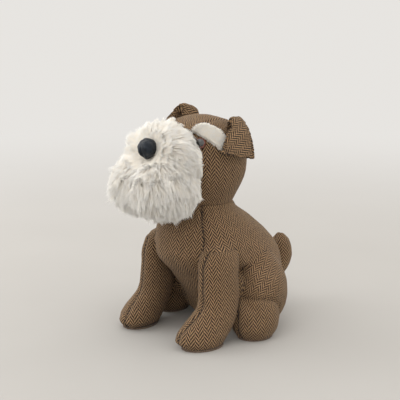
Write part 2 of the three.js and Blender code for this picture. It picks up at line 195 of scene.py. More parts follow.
# Pile
CHEEK_STRANDS = 10800  # on each side
BRIDGE_STRANDS = 9200
STRAND_RADIUS = 0.36 * MM
STRAND_JITTER = 0.22
CLUMPS = 4500
CLUMP_PULL = 0.6  # share of the way that tips move toward the tip of their clump
PILE_RELIEF = 0.5  # share of a strand's own roundness in its shading
PILE_EDGE = -50 * MM  # where the pile stops on the head
PILE_SHORTEST = 3 * MM
PILE_DEPTH = 4 * MM  # how far the backing lies inside the pile's outer form
UNDER_SINK = 6.5 * MM  # and below
CROWN_SINK = 2.5 * MM  # how far the pile lies inside the outer form on top
EYE_ROOM = 5.5 * MM  # and in front of the eyes
EYE_CLEARING = np.array((44, -64, 225)) * MM  # middle of that dip on the left
EYE_DIP = (7 * MM, 25 * MM)
NOSE_HOLLOW = (15 * MM, 22 * MM)  # from the nose, where the backing is smoothed flat
ROOT_GAP = 1.6 * MM  # no strand is rooted nearer to the head
PARTING = np.array((0, 4, -2)) * MM  # from the nose, where the pile is combed away from
HANG = 0.8
HANG_SLOPE = (-14 * MM, 30 * MM)
COMB_WAVE = 0.22
WAVE_SIZE = 12 * MM
TUFT_SIZE = 5 * MM
LIFT_FROM_HEAD = (1 * MM, 20 * MM)
LIFT_FROM_NOSE = (12 * MM, 26 * MM)
SHORT_PILE = 9 * MM
LONG_PILE = 22 * MM
LONG_SLOPE = (14 * MM, 42 * MM)
HELD_OVER_NECK = 6 * MM
FREE_AHEAD = (66 * MM, 88 * MM)
TIP_LIFT = 1 * MM  # how far tips may stand off the outer form beside the head
TIP_FREE = 7 * MM  # and how much farther in front
WILD_SIZE = 3.2 * MM  # size of the tufts that stand off most
WILD_REACH = 3.6 * MM
BROW_STRANDS = 2200
BROW_CLUMPS = BROW_STRANDS // 12
BROW_STRAND_RADIUS = 0.3 * MM
BROW_PULL = 0.35
BROW_SUNK = 1.6 * MM
BROW_THINNED = 0.6 * MM

# Camera, from the photograph
CAMERA_AZIMUTH = 46
CAMERA_ELEVATION = 13
CAMERA_DISTANCE = 1.15
CAMERA_TARGET = Vector((0, -0.02284, 0.146))
CAMERA_LENS = 93.15  # mm on a 36 mm sensor

# Floor, backdrop and light
BACKDROP = (0.80, 0.78, 0.75, 1)
FLOOR_HALF = 9
FLOOR_FADE = (0.3, 1.4)  # from the dog, where the backdrop takes over
FLOOR_TONES = ((0.40, 0.39, 0.375, 1), (0.43, 0.42, 0.405, 1))
DAYLIGHT = (1.0, 0.97, 0.925, 1)
DAYLIGHT_STRENGTH = 1.38
LAMP_COLOUR = (0.98, 0.98, 0.98)
KEY_POWER = 4.3
TOP_POWER = 2.5

UP = np.array((0.0, 0.0, 1.0))
SIDEWAYS = np.array((1.0, 0.0, 0.0))


# Arrays and vectors

def unit(vectors):
    """Vectors at length one."""
    return vectors / np.maximum(np.linalg.norm(vectors, axis=-1, keepdims=True), 1e-12)


def dot(a, b):
    return (a * b).sum(-1)


def ramp(values, low, high):
    """0 below low, 1 above high, smooth between."""
    share = np.clip((values - low) / (high - low), 0, 1)
    return share * share * (3 - 2 * share)


def band(values, rise, fall):
    """1 between a rise and a fall, each given as where it starts and ends."""
    return ramp(values, *rise) * (1 - ramp(values, *fall))


def bell(values, width):
    """1 at 0, falling to nothing past the width."""
    return np.exp(-((values / width) ** 2))


def to_left(points):
    """Points with those of the right half mirrored to the left."""
    return np.stack([np.abs(points[:, 0]), points[:, 1], points[:, 2]], 1)


def face_ways(points, quads):
    """A vector square to each quad, as long as twice its area."""
    a, b, c, d = (points[quads[:, i]] for i in range(4))
    return np.cross(c - a, d - b)


def box_middle(node):
    low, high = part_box(node)
    return np.array((low + high) / 2)


# Meshes

def linked(name, points, faces, smooth=True):
    """A new object from points and faces."""
    mesh = bpy.data.meshes.new(name)
    mesh.from_pydata(points.tolist(), [], faces.tolist() if hasattr(faces, "tolist") else faces)
    mesh.polygons.foreach_set("use_smooth", [smooth] * len(mesh.polygons))
    mesh.update()
    piece = bpy.data.objects.new(name, mesh)
    SCENE.collection.objects.link(piece)
    return piece


def stored(piece, name, values):
    """Keeps a number for each point of a piece, for its material."""
    piece.data.attributes.new(name, "FLOAT", "POINT").data.foreach_set("value", values)


def ring_quads(first, rings, around):
    """Quads between rings of points that follow one another."""
    quads = []
    for ring in range(rings - 1):
        for i in range(around):
            a = first + ring * around + i
            b = first + ring * around + (i + 1) % around
            quads.append((a, b, b + around, a + around))
    return quads


def cad_copy(nodes, swell=0.0):
    """One bmesh of copies of CAD nodes, each swollen a little so that neighbours meet."""
    joined = bmesh.new()
    for node in nodes:
        part = bmesh.new()
        part.from_mesh(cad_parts[node].data)
        bmesh.ops.remove_doubles(part, verts=part.verts, dist=1e-6)
        part.normal_update()
        for vert in part.verts:
            vert.co += vert.normal * swell
        copy = bpy.data.meshes.new("copy")
        part.to_mesh(copy)
        part.free()
        joined.from_mesh(copy)
        bpy.data.meshes.remove(copy)
    return joined


def tree_of(nodes):
    """CAD nodes as a tree that finds their nearest face."""
    copy = cad_copy(nodes)
    tree = BVHTree.FromBMesh(copy)
    copy.free()
    return tree


def gaps_to(tree, places):
    """How far each place lies from the faces of a tree."""
    return np.array([tree.find_nearest(place)[3] for place in places.tolist()])


def remeshed(nodes, voxel, swell=MEET):
    """Points and quads of one closed even skin round CAD nodes."""
    source = cad_copy(nodes, swell)
    mesh = bpy.data.meshes.new("source")
    source.to_mesh(mesh)
    source.free()
    holder = bpy.data.objects.new("source", mesh)
    SCENE.collection.objects.link(holder)
    remesh = holder.modifiers.new("skin", "REMESH")
    remesh.mode = "VOXEL"
    remesh.voxel_size = voxel
    made = holder.evaluated_get(bpy.context.evaluated_depsgraph_get()).to_mesh()
    points = np.zeros(len(made.vertices) * 3)
    made.vertices.foreach_get("co", points)
    quads = np.zeros(len(made.loops), int)
    made.loops.foreach_get("vertex_index", quads)
    bpy.data.objects.remove(holder)
    return in_order(points.reshape(-1, 3), quads.reshape(-1, 4))


def in_order(points, quads):
    """The same skin, with its points and quads in an order that each run repeats."""
    order = np.lexsort(np.round(points, 6).T)
    place = np.empty(len(points), int)
    place[order] = np.arange(len(points))
    quads = place[quads]
    first = quads.argmin(1)
    quads = np.stack([quads[np.arange(len(quads)), (first + i) % 4] for i in range(4)], 1)
    return points[order], quads[np.lexsort(quads.T)]


def edges_of(quads):
    """Each edge once."""
    pairs = np.concatenate([quads[:, [i, (i + 1) % 4]] for i in range(4)])
    return np.unique(np.sort(pairs, axis=1), axis=0)


def averaged(values, edges, count):
    """The mean of each point's neighbours."""
    total = np.empty((count, values.shape[1]))
    ends = np.concatenate([edges[:, 0], edges[:, 1]])
    others = values[np.concatenate([edges[:, 1], edges[:, 0]])]
    for axis in range(values.shape[1]):
        total[:, axis] = np.bincount(ends, others[:, axis], count)
    number = np.bincount(ends, minlength=count)
    return total / np.maximum(number, 1)[:, None]


def smoothed(points, edges, rounds, share=None):
    """Smoothing that keeps the volume, or where share is given, smoothing that blends there."""
    points = points.copy()
    for _ in range(rounds):
        steps = (0.5, -0.52) if share is None else (0.5,)
        for step in steps:
            move = averaged(points, edges, len(points)) - points
            points += step * move * (1 if share is None else share[:, None])
    return points


def normals_of(points, quads):
    """Point normals of a skin of quads."""
    face = face_ways(points, quads)
    total = np.zeros_like(points)
    for corner in range(4):
        for axis in range(3):
            total[:, axis] += np.bincount(quads[:, corner], face[:, axis], len(points))
    return unit(total)


def nearest_node(points, nodes):
    """For each point the index of the CAD node that it lies nearest to."""
    return np.array([gaps_to(tree_of([node]), points) for node in nodes]).argmin(0)


# Cloth laid on a skin

def laid_cloth(points, quads, panel, guide):
    """Cloth coordinates of every face corner, in metres across and along the herringbone.

    Each panel is developed by itself, so that the columns follow the guide directions and the
    cloth stretches as little as it can."""
    keys = quads * (panel.max() + 1) + panel[:, None]
    used, corner = np.unique(keys, return_inverse=True)
    corner = corner.reshape(quads.shape)
    place = points[used // (panel.max() + 1)]
    triangles = np.concatenate([corner[:, [0, 1, 2]], corner[:, [0, 2, 3]]])
    way = np.concatenate([guide, guide])
    a, b, c = (place[triangles[:, i]] for i in range(3))
    double = np.cross(b - a, c - a)
    area = np.linalg.norm(double, axis=1)
    sound = area > 1e-12
    triangles, way, a, b, c = triangles[sound], way[sound], a[sound], b[sound], c[sound]
    double, area = double[sound], area[sound]
    normal = double / area[:, None]
    along = way - dot(way, normal)[:, None] * normal
    firm = np.linalg.norm(along, axis=1)
    along = unit(along)
    across = np.cross(along, normal)
    slopes = [np.cross(normal, edge) / area[:, None] for edge in (c - b, a - c, b - a)]
    weight = area * np.maximum(firm, 0.02) ** 2
    count = len(used)
    rows, columns, values = [], [], []
    for i in range(3):
        for j in range(3):
            rows.append(triangles[:, i])
            columns.append(triangles[:, j])
            values.append(weight * dot(slopes[i], slopes[j]))
    matrix = sparse(np.concatenate(rows), np.concatenate(columns), np.concatenate(values), count)
    solved = []
    for target in (across, along):
        wanted = np.zeros(count)
        for i in range(3):
            wanted += np.bincount(triangles[:, i], weight * dot(slopes[i], target), count)
        solved.append(solve(matrix, wanted, count))
    return np.stack(solved, -1)[corner]


def sparse(rows, columns, values, count):
    """A sparse matrix as its rows, columns and values, each place once."""
    key, where = np.unique(rows * count + columns, return_inverse=True)
    return key // count, key % count, np.bincount(where.ravel(), values)


def solve(matrix, wanted, count, rounds=900, close=1e-7):
    """Conjugate gradients, scaled by the diagonal."""
    rows, columns, values = matrix
    scale = 1 / np.maximum(np.bincount(rows[rows == columns], values[rows == columns], count), 1e-18)
    found = np.zeros(count)
    left = wanted.copy()
    toward = scale * left
    way = toward.copy()
    size = left @ toward
    first = size
    for _ in range(rounds):
        if size <= first * close**2:
            break
        moved = np.bincount(rows, values * way[columns], count)
        step = size / (way @ moved)
        found += step * way
        left -= step * moved
        toward = scale * left
        new = left @ toward
        way = toward + new / size * way
        size = new
    return found


def border_edges(quads, panel):
    """Edges between two panels, with the lower and higher panel of each."""
    pairs = np.concatenate([quads[:, [i, (i + 1) % 4]] for i in range(4)])
    owner = np.tile(panel, 4)
    pairs = np.sort(pairs, axis=1)
    order = np.lexsort((pairs[:, 1], pairs[:, 0]))
    pairs, owner = pairs[order], owner[order]
    same = (pairs[1:] == pairs[:-1]).all(1) & (owner[1:] != owner[:-1])
    return pairs[1:][same], np.sort(np.stack([owner[1:][same], owner[:-1][same]], 1), axis=1)


def straightened(points, quads, borders, rounds=12):
    """Border points slide in the skin until the seams run smooth, and the rest follows."""
    points = points.copy()
    normal = normals_of(points, quads)
    edges = edges_of(quads)
    on_border = np.zeros(len(points), bool)
    on_border[borders.ravel()] = True
    for _ in range(rounds):
        move = averaged(points, borders, len(points)) - points
        move[~on_border] = 0
        move -= dot(move, normal)[:, None] * normal
        points += 0.6 * move
        relax = averaged(points, edges, len(points)) - points
        relax -= dot(relax, normal)[:, None] * normal
        relax[on_border] = 0
        points += 0.3 * relax
    return points


def seam_distance(points, borders, reach):
    """Distance of each point to the nearest seam, up to reach."""
    if not len(borders):
        return np.full(len(points), reach)
    ends = points[borders]
    samples = np.concatenate([ends[:, 0] * (1 - t) + ends[:, 1] * t for t in (0.0, 0.25, 0.5, 0.75)])
    tree = kdtree.KDTree(len(samples))
    for index, sample in enumerate(samples.tolist()):
        tree.insert(sample, index)
    tree.balance()
    return np.minimum([tree.find(point)[2] for point in points.tolist()], reach)


def rumple(points, normal, size, height):
    """Soft unevenness of stuffed cloth."""
    lift = [noise.noise(Vector(point) / size) for point in points.tolist()]
    return points + normal * (np.array(lift) * height)[:, None]


def chains(borders):
    """Border edges as runs of neighbouring points."""
    beside = {}
    for a, b in borders.tolist():
        beside.setdefault(a, []).append(b)
        beside.setdefault(b, []).append(a)
    left = {tuple(sorted(edge)) for edge in borders.tolist()}
    runs = []
    starts = sorted(beside, key=lambda point: (len(beside[point]) == 2, point))
    for start in starts:
        while True:
            run = [start]
            while True:
                onward = [p for p in beside[run[-1]] if tuple(sorted((run[-1], p))) in left]
                if not onward or (len(run) > 1 and len(beside[run[-1]]) != 2):
                    break
                left.discard(tuple(sorted((run[-1], onward[0]))))
                run.append(onward[0])
            if len(run) < 2:
                break
            runs.append(run)
    return runs


def evenly(path, pitch):
    """Points along a path, a pitch apart, with the way of the path at each."""
    steps = np.linalg.norm(np.diff(path, axis=0), axis=1)
    length = np.concatenate([[0], np.cumsum(steps)])
    if length[-1] < pitch:
        return np.empty((0, 3)), np.empty((0, 3))
    stops = np.arange(pitch / 2, length[-1], pitch)
    place = np.stack([np.interp(stops, length, path[:, axis]) for axis in range(3)], 1)
    after = np.stack([np.interp(stops + pitch / 4, length, path[:, axis]) for axis in range(3)], 1)
    return place, unit(after - place + 1e-9)


def stitches(name, skin, borders):
    """Short threads that lie along the bold seams of a skin."""
    rings, around = 5, 6
    points, faces = [], []
    co = np.array([vert.co for vert in skin.data.vertices])
    tree = BVHTree.FromObject(skin, bpy.context.evaluated_depsgraph_get())
    laid = [evenly(co[run], STITCH_PITCH) for run in chains(borders) if len(run) > 6]
    places = np.concatenate([place for place, _ in laid])
    ways = np.concatenate([way for _, way in laid])
    for place, way in zip(places, ways):
        out = np.array(tree.find_nearest(place.tolist())[1])
        side = unit(np.cross(way, out))
        first = len(points)
        for ring in range(rings):
            share = ring / (rings - 1) * 2 - 1
            thick = STITCH_RADIUS * math.sqrt(max(0.08, 1 - share**2))
            middle = place + way * share * STITCH_LENGTH / 2 + out * STITCH_ARCH * (1 - share**2)
            for turn in np.arange(around) * 2 * math.pi / around:
                points.append(middle + thick * (math.cos(turn) * side + math.sin(turn) * out))
        faces += ring_quads(first, rings, around)
        faces.append(tuple(first + i for i in reversed(range(around))))
        faces.append(tuple(first + (rings - 1) * around + i for i in range(around)))
    return linked(name, np.array(points), faces)


def sewn_skin(name, points, quads, panel, guide, bold=(), quiet=(), depth=GROOVE_DEPTH):
    """A stuffed cloth piece with its weave laid, its seams drawn in and its cloth rumpled.

    Every seam outside quiet gets a groove and a faint line of painted shade, those between the pairs of
    panels in bold a darker one, whose borders are returned for their stitches; seams in quiet lie flat."""
    borders, pairs = border_edges(quads, panel)
    points = straightened(points, quads, borders)
    cloth = laid_cloth(points, quads, panel, guide(points, quads, panel))
    normal = normals_of(points, quads)
    is_bold = np.array([tuple(pair) in bold for pair in pairs.tolist()], bool)
    is_quiet = np.array([tuple(pair) in quiet for pair in pairs.tolist()], bool)
    gap = seam_distance(points, borders[~is_quiet], SEAM_REACH)
    bold_gap = seam_distance(points, borders[is_bold], SEAM_REACH)
    for size, height in RUMPLES:
        points = rumple(points, normal, size, height)
    lift = SEAM_SWELL * bell(gap - SWELL_ASIDE, SWELL_WIDTH) - depth * bell(gap, GROOVE_WIDTH)
    points = points + normal * lift[:, None]
    piece = linked(name, points, quads)
    weave = piece.data.uv_layers.new(name="weave")
    weave.data.foreach_set("uv", cloth.reshape(-1))
    # painted shade in the seams' grooves, darker along the bold seams
    dark = np.maximum(bell(bold_gap, BOLD_WIDTH), FAINT_SHADE * bell(gap, FAINT_WIDTH))
    stored(piece, "seam", dark)
    return piece, borders[is_bold]


# Materials

def new_material(name, roughness, sheen=0.0, sheen_roughness=0.5, sheen_tint=(1, 1, 1, 1)):
    """A material with its shader, whose constants sit on the shader's own sockets."""
    material = bpy.data.materials.new(name)
    material.use_nodes = True
    shader = material.node_tree.nodes["Principled BSDF"]
    shader.inputs["Roughness"].default_value = roughness
    shader.inputs["Sheen Weight"].default_value = sheen
    shader.inputs["Sheen Roughness"].default_value = sheen_roughness
    shader.inputs["Sheen Tint"].default_value = sheen_tint
    return material, material.node_tree, shader


def calc(tree, operation, *values):
    """A math node on sockets or numbers."""
    node = tree.nodes.new("ShaderNodeMath")
    node.operation = operation
    for socket, value in zip(node.inputs, values):
        if isinstance(value, (int, float)):
            socket.default_value = value
        else:
            tree.links.new(value, socket)
    return node.outputs[0]


def noisy(tree, scale, detail=2.0, roughness=0.5):
    """Noise at a place of the object, with scale in patches for each metre."""
    place = tree.nodes.new("ShaderNodeTexCoord").outputs["Object"]
    node = tree.nodes.new("ShaderNodeTexNoise")
    node.inputs["Scale"].default_value = scale
    node.inputs["Detail"].default_value = detail
    node.inputs["Roughness"].default_value = roughness
    tree.links.new(place, node.inputs["Vector"])
    return node.outputs[0]


def blended(tree, share, first, second, how="MIX"):
    """Two colours mixed by a socket or a number."""
    node = tree.nodes.new("ShaderNodeMix")
    node.data_type = "RGBA"
    node.blend_type = how
    for socket, value in zip((node.inputs[0], node.inputs[6], node.inputs[7]), (share, first, second)):
        if isinstance(value, (int, float, tuple)):
            socket.default_value = value
        else:
            tree.links.new(value, socket)
    return node.outputs[2]


def span(tree, value, low, high, out_low=0.0, out_high=1.0, smooth=True):
    """A value mapped from one range to another."""
    node = tree.nodes.new("ShaderNodeMapRange")
    node.interpolation_type = "SMOOTHSTEP" if smooth else "LINEAR"
    tree.links.new(value, node.inputs["Value"])
    for name, number in (("From Min", low), ("From Max", high), ("To Min", out_low), ("To Max", out_high)):
        node.inputs[name].default_value = number
    return node.outputs[0]


def attribute(tree, name):
    """A number stored on the points of a piece."""
    node = tree.nodes.new("ShaderNodeAttribute")
    node.attribute_name = name
    return node.outputs["Fac"]


def patchy(tree, tones, scale, detail, roughness=0.5):
    """Two colours in soft patches."""
    return blended(tree, span(tree, noisy(tree, scale, detail, roughness), 0.3, 0.7), *tones)


def raised(tree, shader, height, distance, strength=1.0):
    """Relief on a shader from a height socket."""
    bump = tree.nodes.new("ShaderNodeBump")
    bump.inputs["Distance"].default_value = distance
    bump.inputs["Strength"].default_value = strength
    tree.links.new(height, bump.inputs["Height"])
    tree.links.new(bump.outputs["Normal"], shader.inputs["Normal"])


def tweed():
    """Herringbone of light and dark yarn, slightly hairy, with painted shade along the seams."""
    material, tree, shader = new_material("tweed", 0.95, 0.06, 0.6, TWEED_HAIRS)
    cloth = tree.nodes.new("ShaderNodeUVMap")
    cloth.uv_map = "weave"
    split = tree.nodes.new("ShaderNodeSeparateXYZ")
    tree.links.new(cloth.outputs[0], split.inputs[0])
    shiver = calc(tree, "MULTIPLY", calc(tree, "SUBTRACT", noisy(tree, 420, 2), 0.5), YARN_SHIVER)
    across = calc(tree, "ADD", calc(tree, "ADD", split.outputs[0], COLUMNS_BEFORE * COLUMN), shiver)
    along = calc(tree, "ADD", split.outputs[1], shiver)
    zigzag = calc(tree, "PINGPONG", across, COLUMN)
    column = calc(tree, "FLOOR", calc(tree, "DIVIDE", across, COLUMN))
    turned = calc(tree, "MULTIPLY", calc(tree, "MODULO", column, 2.0), 0.5)
    climb = calc(tree, "ADD", along, calc(tree, "MULTIPLY", zigzag, TWILL_RISE))
    start = calc(tree, "ADD", turned, LINES_BEFORE)
    line = calc(tree, "ADD", calc(tree, "DIVIDE", climb, TWILL_PITCH), start)
    phase = calc(tree, "FRACT", line)
    off = calc(tree, "ABSOLUTE", calc(tree, "SUBTRACT", phase, 0.5))
    yarn = span(tree, off, *YARN_EDGE)
    melange = noisy(tree, 700, 3, 0.6)
    light = blended(tree, span(tree, melange, 0.35, 0.65), TWEED_SAND, TWEED_LIGHT)
    dark = blended(tree, span(tree, melange, 0.4, 0.7), TWEED_DARK, TWEED_BROWN)
    woven = blended(tree, yarn, dark, light)
    fuzz = noisy(tree, 1800, 2, 0.7)
    hairy = blended(tree, span(tree, fuzz, 0.4, 0.9, 0.0, 0.08), woven, TWEED_SAND)
    # painted shade along the seams
    shade = calc(tree, "MULTIPLY", attribute(tree, "seam"), SEAM_SHADE)
    tree.links.new(blended(tree, shade, hairy, SEAM_DARK), shader.inputs["Base Color"])
    height = calc(tree, "ADD", yarn, calc(tree, "MULTIPLY", fuzz, 0.9))
    raised(tree, shader, height, 0.35 * MM, 0.8)
    return material


def pile():
    """Cream strands, warmer and darker toward the root, as painted shade deep in the pile."""
    material, tree, shader = new_material("pile", 0.9)
    shader.inputs["Specular IOR Level"].default_value = 0.2
    uneven = calc(tree, "MULTIPLY", noisy(tree, 140, 2), 0.6)
    # share of the root's painted warm shade, in random patches
    root_shade = span(tree, calc(tree, "ADD", attribute(tree, "strand"), uneven), 0.5, 1.4)
    tree.links.new(blended(tree, root_shade, PILE_SHADED_ROOT, PILE_TIP), shader.inputs["Base Color"])
    raised(tree, shader, noisy(tree, 2500, 2), 0.2 * MM, 0.5)
    return material


def velvet():
    """Black short velvet in patches where its nap is brushed, the lighter bluish tone a painted sheen."""
    material, tree, shader = new_material("velvet", 0.4)
    shader.inputs["Specular IOR Level"].default_value = 0.3
    shader.inputs["Specular Tint"].default_value = VELVET_GLEAM
    # patches of painted sheen on the black
    tree.links.new(patchy(tree, VELVET_TONE_AND_SHEEN, 300, 3, 0.6), shader.inputs["Base Color"])
    raised(tree, shader, noisy(tree, 2600, 2, 0.7), 0.25 * MM, 0.7)
    return material


def eye_gloss():
    """Polished plastic: a black pupil inside a red brown iris with a darker rim."""
    material, tree, shader = new_material("eye_gloss", 0.06)
    shader.inputs["Coat Weight"].default_value = 1.0
    shader.inputs["Coat Roughness"].default_value = 0.03
    uneven = calc(tree, "MULTIPLY", noisy(tree, 900, 2), 0.03)
    radius = calc(tree, "ADD", attribute(tree, "ring"), uneven)
    iris = span(tree, radius, 0.66, 0.74)
    rim = span(tree, radius, 0.9, 1.0)
    eye = blended(tree, iris, PUPIL, IRIS)
    tree.links.new(blended(tree, rim, eye, IRIS_RIM), shader.inputs["Base Color"])
    return material


def canvas():
    """Plain cotton weave for the soles and the base panel."""
    material, tree, shader = new_material("canvas", 0.9, 0.1)
    place = tree.nodes.new("ShaderNodeTexCoord").outputs["Object"]
    split = tree.nodes.new("ShaderNodeSeparateXYZ")
    tree.links.new(place, split.inputs[0])
    phases = [calc(tree, "MULTIPLY", split.outputs[i], 2 * math.pi / MM) for i in (0, 1)]
    weave = span(tree, calc(tree, "MULTIPLY", *(calc(tree, "SINE", phase) for phase in phases)), -1, 1)
    tone = patchy(tree, CANVAS_TONES, 500, 3)
    tree.links.new(blended(tree, weave, CANVAS_GAP, tone), shader.inputs["Base Color"])
    raised(tree, shader, weave, 0.2 * MM)
    return material


def thread():
    """Dark brown sewing thread with a twist."""
    material, tree, shader = new_material("thread", 0.9)
    tree.links.new(patchy(tree, THREAD_TONES, 1500, 2), shader.inputs["Base Color"])
    return material


TWEED = tweed()
PILE = pile()
VELVET = velvet()
EYE_GLOSS = eye_gloss()
CANVAS = canvas()
THREAD = thread()


def dressed(piece, material, nodes=()):
    """Gives a piece its material, the nodes it stands for and its body."""
    piece.data.materials.clear()
    piece.data.materials.append(material)
    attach(piece, "root")
    if nodes:
        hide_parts(*nodes)
    return piece


# Body: torso, front legs, haunches and hind feet as one sewn skin

def leg_across(points, side):
    """How far outside the front seam of a toed-in front leg a point lies."""
    aside = LEG_SEAM_ASIDE * ramp(points[:, 2], *LEG_SEAM_SLOPE)
    out = SIDES[side] * points[:, 0] - LEG_SPREAD + LEG_LEAN * points[:, 2] - aside
    return out * math.cos(TOE_IN) - (points[:, 1] - LEG_MIDDLE) * math.sin(TOE_IN)


def ahead_of_thigh(points):
    """How far ahead of the fold in front of the thighs each point lies."""
    heights, places = THIGH_FOLD.T
    return np.interp(points[:, 2], heights, places) - points[:, 1]


def body_panels(middle, form):
    """The cloth panel of each face, from its middle and the CAD form that it lies on."""
    heights, reach = np.array(CHEST_SEAM).T * MM
    ahead = middle[:, 1] < CHEST_BACK
    chest = ahead & (np.abs(middle[:, 0]) < np.interp(middle[:, 2], heights, reach))
    sided = np.where(middle[:, 0] > 0, SIDE_PANEL["left"], SIDE_PANEL["right"])
    panel = np.where(chest, CHEST, sided)
    for index, name in enumerate(LIMBS, 1):
        own = form == index
        part, side = name.rsplit("_", 1)
        if part == "front_leg":
            own &= middle[:, 2] < SHOULDER_SEAM
            outer = leg_across(middle, side) > 0
            panel = np.where(own, np.where(outer, LEG_OUTER[side], LEG_INNER[side]), panel)
        elif part == "haunch":
            panel = np.where(own & (middle[:, 1] < THIGH_BACK), THIGH[side], panel)
            panel = np.where(own & (ahead_of_thigh(middle) > 0), LEG_OUTER[side], panel)
        else:
            outer = SIDES[side] * middle[:, 0] > FOOT_SPREAD
            panel = np.where(own, np.where(outer, FOOT_OUTER[side], FOOT_INNER[side]), panel)
    return panel


def settled(points):
    """The right front leg stands a little closer, the hind feet swell up against the thighs,
    and no cloth is under the soles."""
    leg = band(points[:, 2], *SHIFT_HEIGHT)
    leg *= ramp(-points[:, 0], *SHIFT_ASIDE) * ramp(-points[:, 1], *SHIFT_AHEAD)
    points = points + leg[:, None] * RIGHT_LEG_SHIFT
    foot = band(points[:, 2], *RISE_HEIGHT)
    foot *= ramp(np.abs(points[:, 0]), *RISE_ASIDE)
    foot *= band(points[:, 1], *RISE_ALONG)
    points[:, 2] += FOOT_RISE * foot
    points[:, 2] = np.maximum(points[:, 2], LOWEST_CLOTH)
    return points


def fuller(points, normal):
    """The stuffing swells the cloth where the sewn shape is rounder than its plain form."""
    lift = np.zeros(len(points))
    for place, reach, height in FULLER:
        gap = np.linalg.norm(to_left(points) - np.array(place) * MM, axis=1)
        lift += height * MM * bell(gap, reach * MM)
    return points + normal * lift[:, None]


def creased(points, off_legs):
    """Draws the belly in ahead of each thigh, with small puckers along the fold."""
    ahead = ahead_of_thigh(points)
    low, high = THIGH_FOLD[[0, -1], 0]
    level = band(points[:, 2], (low - FOLD_START, low + FOLD_START), (high - FOLD_END, high))
    level *= ramp(np.abs(points[:, 0]), *FOLD_ASIDE)
    level *= off_legs
    along, up = PUCKER_SCALE
    places = [Vector((up * p[2], 9 * np.sign(p[0]), along * p[1])) for p in points.tolist()]
    pucker = np.array([noise.noise(place) for place in places])
    draw = BELLY_DRAW * ramp(ahead, *DRAW_SLOPE) + CREASE_DEPTH * bell(ahead, CREASE_WIDTH)
    move = level * (draw - PUCKER_DEPTH * pucker * bell(ahead + PUCKER_BEHIND, PUCKER_WIDTH))
    points = points.copy()
    points[:, 0] -= np.sign(points[:, 0]) * move
    return points


def leg_share(quads, form, edges):
    """How much each point belongs to a front leg, from the forms of the faces round it."""
    on_leg = np.isin(form, (1, 2)).astype(float)
    share = np.bincount(quads.ravel(), np.repeat(on_leg, 4)) / np.bincount(quads.ravel())
    for _ in range(4):
        share = averaged(share[:, None], edges, len(share))[:, 0]
    return share


def body():
    """The tweed skin of everything but the head, the ears and the tail."""
    points, quads = remeshed(["torso", "weight_pouch", *LIMBS], BODY_VOXEL)
    edges = edges_of(quads)
    shoulder = band(points[:, 2], *SOFT_SHOULDER)
    rear = ramp(points[:, 1], *SOFT_REAR) * ramp(points[:, 2], *SOFT_REAR_HEIGHT)
    soft = np.maximum(shoulder, rear) * ramp(np.abs(points[:, 0]), *SOFT_ASIDE)
    points = smoothed(points, edges, SOFT_ROUNDS, soft)
    points = smoothed(points, edges, CLOTH_ROUNDS)
    middle = points[quads].mean(1)
    form = nearest_node(middle, ["torso", *LIMBS])
    off_legs = 1 - ramp(leg_share(quads, form, edges), 0.3, 0.9)
    points = settled(fuller(points, normals_of(points, quads)))
    points = smoothed(creased(points, off_legs), edges, 2)

    def guide(points, quads, panel):
        """Columns run up the body and turn on the thighs."""
        way = np.tile(UP, (len(quads), 1))
        thigh = np.isin(panel, list(THIGH.values()))
        way[thigh] = (0, math.sin(THIGH_TURN), math.cos(THIGH_TURN))
        return way

    bold = [(CHEST, panel) for panel in SIDE_PANEL.values()]
    bold += [(LEG_OUTER[side], LEG_INNER[side]) for side in SIDES]
    bold += [(FOOT_OUTER[side], FOOT_INNER[side]) for side in SIDES]
    panel = body_panels(middle, form)
    quiet = [(SIDE_PANEL[side], THIGH[side]) for side in SIDES]
    piece, seams = sewn_skin("body", points, quads, panel, guide, bold, quiet)
    dressed(piece, TWEED, ["torso", *LIMBS])
    dressed(stitches("seam_stitches", piece, seams), THREAD)


# Head, ears and tail

def head():
    """Two side panels, and a gusset over the crown."""
    points, quads = remeshed(["head"], HEAD_VOXEL)
    points = smoothed(points, edges_of(quads), CLOTH_ROUNDS)
    middle = points[quads].mean(1)
    above = middle[:, 2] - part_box("head")[0].z
    rise, half = np.array(GUSSET).T * MM
    on_top = (middle[:, 1] > box_middle("head")[1]) | (above > GUSSET_FRONT)
    gusset = on_top & (np.abs(middle[:, 0]) < np.interp(above, rise, half))
    panel = np.where(gusset, 0, np.where(middle[:, 0] > 0, 1, 2))

    def guide(points, quads, panel):
        """Columns run up the sides, and along the gusset over the crown."""
        way = np.tile(UP, (len(quads), 1))
        over = np.cross(unit(face_ways(points, quads)), SIDEWAYS)
        way[panel == 0] = over[panel == 0]
        return way

    piece, _ = sewn_skin("head_cloth", points, quads, panel, guide, depth=0.8 * MM)
    dressed(piece, TWEED, ["head"])


def ear(side):
    """A folded flap: the cloth outside the fold and the cloth inside it."""
    node = f"ear_{side}"
    points, quads = remeshed([node], SMALL_VOXEL, EAR_CLOSING)
    edges = edges_of(quads)
    points = smoothed(points, edges, 8)
    points = smoothed(points - normals_of(points, quads) * EAR_OPENING, edges, 6)
    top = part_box(node)[1].z
    crest = ramp(points[:, 2], *(top - below for below in CREST_SLOPE))
    front = 1 - np.clip((points[:, 1] - EAR_FRONT) / EAR_BREADTH, 0, 1)
    rise, corner_rise, corner_back = EAR_CREST[side]
    points[:, 2] += crest * (rise + front * corner_rise)
    points[:, 1] += crest * front * corner_back
    aside = np.full(len(points), SIDES[side] * EAR_FOLD_ASIDE)
    fold = np.stack([aside, points[:, 1], np.minimum(points[:, 2], top - EAR_FOLD_BELOW)], 1)
    facing = dot(normals_of(points, quads), unit(points - fold))[:, None]
    for _ in range(6):
        facing = averaged(facing, edges, len(points))
    panel = (facing[quads].mean((1, 2)) > 0).astype(int)

    def guide(points, quads, panel):
        """Columns run back along the ear and fall as they go."""
        return np.cross(unit(face_ways(points, quads)), (0, -SIDES[side], 0)) + EAR_FALL

    piece, _ = sewn_skin(node + "_cloth", points, quads, panel, guide, depth=0.5 * MM)
    dressed(piece, TWEED, [node])


